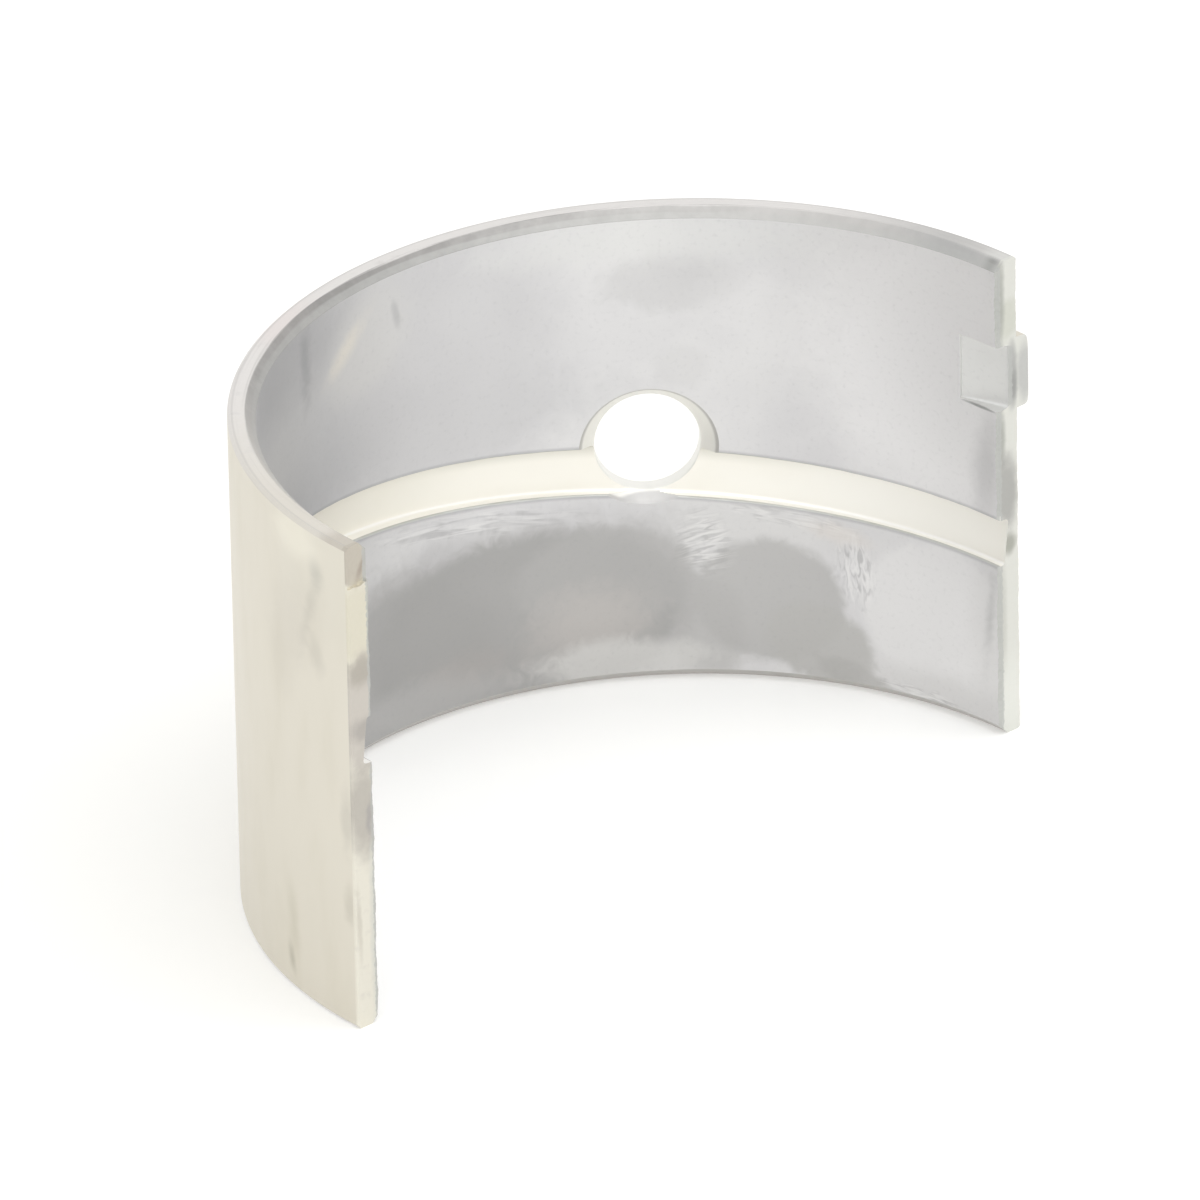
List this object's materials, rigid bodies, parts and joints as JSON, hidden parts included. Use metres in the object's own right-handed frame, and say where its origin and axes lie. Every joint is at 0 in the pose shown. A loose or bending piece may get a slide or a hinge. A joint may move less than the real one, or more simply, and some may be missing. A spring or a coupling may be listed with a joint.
{
  "type": "engine bearing shell",
  "caption": "Half shell of a plain engine bearing, a thin steel strip bent to a half circle, with an oil groove, an oil hole and a locating lug.",
  "frame": {"origin": "on the bore axis, at half the shell's width, in the plane of the two parting faces", "axes": "+Z along the bore axis, +Y through the crown of the shell, +X towards the end with the locating lug"},
  "size_m": [0.0813, 0.04, 0.047],
  "materials": {
    "bearing_shell": "satin, tin-flashed"
  },
  "bodies": {
    "root": {"bearing_shell": "bearing_shell"}
  },
  "joints": []
}
